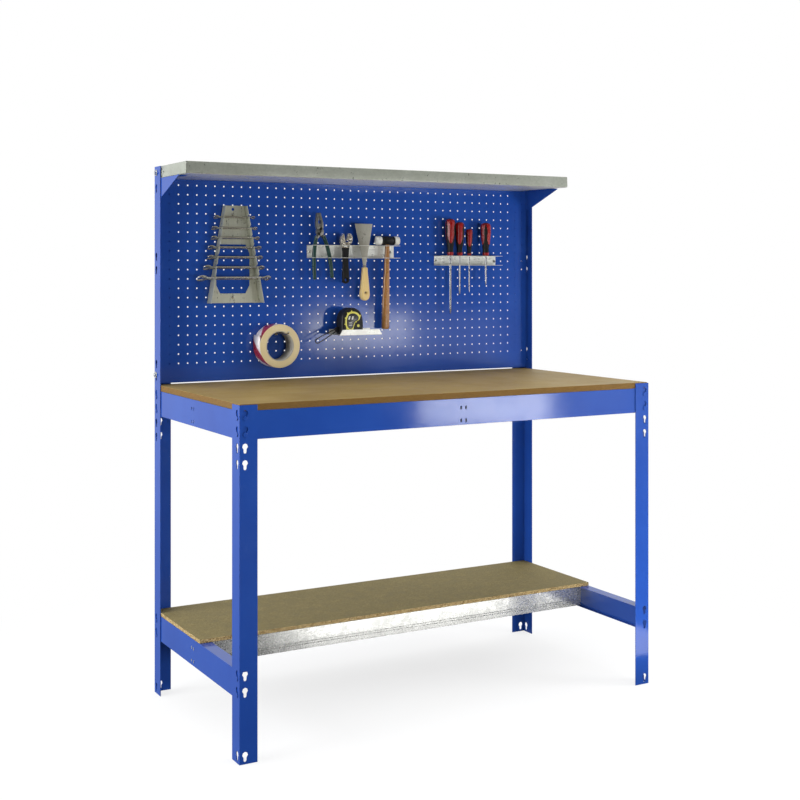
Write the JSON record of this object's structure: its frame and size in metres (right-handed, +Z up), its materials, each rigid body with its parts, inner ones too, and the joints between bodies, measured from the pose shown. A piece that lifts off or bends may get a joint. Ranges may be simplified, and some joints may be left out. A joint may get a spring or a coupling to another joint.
{
  "type": "workbench",
  "caption": "Boltless steel workbench with wooden worktop, half-depth lower shelf, perforated rear tool panel, racks of lift-out hand tools and a top tray.",
  "frame": {"origin": "centre of the footprint, on the floor", "axes": "+X to the right seen from the front, +Y to the rear (tool panel side), +Z up"},
  "size_m": [1.2456, 0.6136, 1.4455],
  "materials": {
    "blue_paint": "gloss powder coat",
    "zinc_sheet": "galvanised, semi-matt",
    "rack_steel": "bright zinc plate",
    "fastener_steel": "zinc plate",
    "tool_steel": "satin",
    "worktop_board": "smooth hardboard",
    "chipboard": "raw particle board",
    "green_grip": "dipped grip over steel levers",
    "beech": "lacquered",
    "stained_ash": "lacquered",
    "black_plastic": "satin",
    "white_nylon": "satin",
    "red_plastic": "two-colour handle, red on black",
    "paper_tape": "wound tape",
    "webbing": "woven loop"
  },
  "bodies": {
    "bench": {"bracket_left": "blue_paint", "bracket_right": "blue_paint", "centre_cross_bar": "zinc_sheet", "driver_rack": "rack_steel", "driver_rack_screw_left": "fastener_steel", "driver_rack_screw_right": "fastener_steel", "lower_beam_left": "blue_paint", "lower_beam_rear": "blue_paint", "lower_beam_right": "blue_paint", "lower_rail_front": "zinc_sheet", "lower_shelf": "chipboard", "panel_bolt_left": "fastener_steel", "panel_bolt_right": "fastener_steel", "pegboard_panel": "blue_paint", "post_front_left": "blue_paint", "post_front_right": "blue_paint", "post_rear_left": "blue_paint", "post_rear_right": "blue_paint", "small_shelf": "rack_steel", "spanner_rack": "rack_steel", "spanner_rack_screw_bottom": "fastener_steel", "spanner_rack_screw_top": "fastener_steel", "tape_peg": "fastener_steel", "tool_rack": "rack_steel", "tool_rack_screw_left": "fastener_steel", "tool_rack_screw_right": "fastener_steel", "top_beam_front": "blue_paint", "top_beam_left": "blue_paint", "top_beam_rear": "blue_paint", "top_beam_right": "blue_paint", "top_tray": "zinc_sheet", "tray_bolt_left": "fastener_steel", "tray_bolt_right": "fastener_steel", "worktop": "worktop_board"},
    "spanner_1": {"spanner_1": "tool_steel"},
    "spanner_2": {"spanner_2": "tool_steel"},
    "spanner_3": {"spanner_3": "tool_steel"},
    "spanner_4": {"spanner_4": "tool_steel"},
    "spanner_5": {"spanner_5": "tool_steel"},
    "spanner_6": {"spanner_6": "tool_steel"},
    "spanner_7": {"spanner_7": "tool_steel"},
    "pliers": {"pliers_lever_a": "green_grip"},
    "pliers_second_lever": {"pliers_lever_b": "green_grip"},
    "wrench": {"wrench_body": "tool_steel"},
    "wrench_sliding_jaw": {"wrench_jaw": "tool_steel"},
    "scraper": {"scraper_blade": "tool_steel", "scraper_handle": "beech"},
    "mallet": {"mallet_handle": "stained_ash", "mallet_head": "black_plastic", "mallet_face_left": "white_nylon", "mallet_face_right": "white_nylon"},
    "screwdriver_1": {"screwdriver_1": "red_plastic"},
    "screwdriver_2": {"screwdriver_2": "red_plastic"},
    "screwdriver_3": {"screwdriver_3": "red_plastic"},
    "screwdriver_4": {"screwdriver_4": "red_plastic"},
    "tape_roll": {"tape_roll": "paper_tape"},
    "tape_measure": {"tape_measure_case": "black_plastic", "tape_measure_strap": "webbing"}
  },
  "joints": [
    {"name": "spanner_1_out", "type": "slide", "parent": "bench", "child": "spanner_1", "axis": [0, -0.866, 0.5], "range_m": [0, 0.055]},
    {"name": "spanner_2_out", "type": "slide", "parent": "bench", "child": "spanner_2", "axis": [0, -0.866, 0.5], "range_m": [0, 0.055]},
    {"name": "spanner_3_out", "type": "slide", "parent": "bench", "child": "spanner_3", "axis": [0, -0.866, 0.5], "range_m": [0, 0.055]},
    {"name": "spanner_4_out", "type": "slide", "parent": "bench", "child": "spanner_4", "axis": [0, -0.866, 0.5], "range_m": [0, 0.055]},
    {"name": "spanner_5_out", "type": "slide", "parent": "bench", "child": "spanner_5", "axis": [0, -0.866, 0.5], "range_m": [0, 0.055]},
    {"name": "spanner_6_out", "type": "slide", "parent": "bench", "child": "spanner_6", "axis": [0, -0.866, 0.5], "range_m": [0, 0.055]},
    {"name": "spanner_7_out", "type": "slide", "parent": "bench", "child": "spanner_7", "axis": [0, -0.866, 0.5], "range_m": [0, 0.055]},
    {"name": "pliers_lift", "type": "slide", "parent": "bench", "child": "pliers", "axis": [0, 0, 1], "range_m": [0, 0.075]},
    {"name": "pliers_pivot", "type": "hinge", "parent": "pliers", "child": "pliers_second_lever", "pos_m": [-0.1325, 0.264, 1.272], "axis": [0, 1, 0], "range_deg": [-8, 1.5]},
    {"name": "wrench_lift", "type": "slide", "parent": "bench", "child": "wrench", "axis": [0, 0, 1], "range_m": [0, 0.1]},
    {"name": "wrench_jaw_slide", "type": "slide", "parent": "wrench", "child": "wrench_sliding_jaw", "axis": [0.979, 0, 0.2037], "range_m": [-0.001, 0.008]},
    {"name": "scraper_lift", "type": "slide", "parent": "bench", "child": "scraper", "axis": [0, 0, 1], "range_m": [0, 0.1]},
    {"name": "mallet_lift", "type": "slide", "parent": "bench", "child": "mallet", "axis": [0, 0, 1], "range_m": [0, 0.13]},
    {"name": "screwdriver_1_lift", "type": "slide", "parent": "bench", "child": "screwdriver_1", "axis": [0, 0, 1], "range_m": [0, 0.085]},
    {"name": "screwdriver_2_lift", "type": "slide", "parent": "bench", "child": "screwdriver_2", "axis": [0, 0, 1], "range_m": [0, 0.09]},
    {"name": "screwdriver_3_lift", "type": "slide", "parent": "bench", "child": "screwdriver_3", "axis": [0, 0, 1], "range_m": [0, 0.11]},
    {"name": "screwdriver_4_lift", "type": "slide", "parent": "bench", "child": "screwdriver_4", "axis": [0, 0, 1], "range_m": [0, 0.095]},
    {"name": "tape_roll_off_peg", "type": "slide", "parent": "bench", "child": "tape_roll", "axis": [0, -0.9063, 0.4226], "range_m": [0, 0.11]},
    {"name": "tape_measure_lift", "type": "slide", "parent": "bench", "child": "tape_measure", "axis": [0, 0, 1], "range_m": [0, 0.05]}
  ]
}
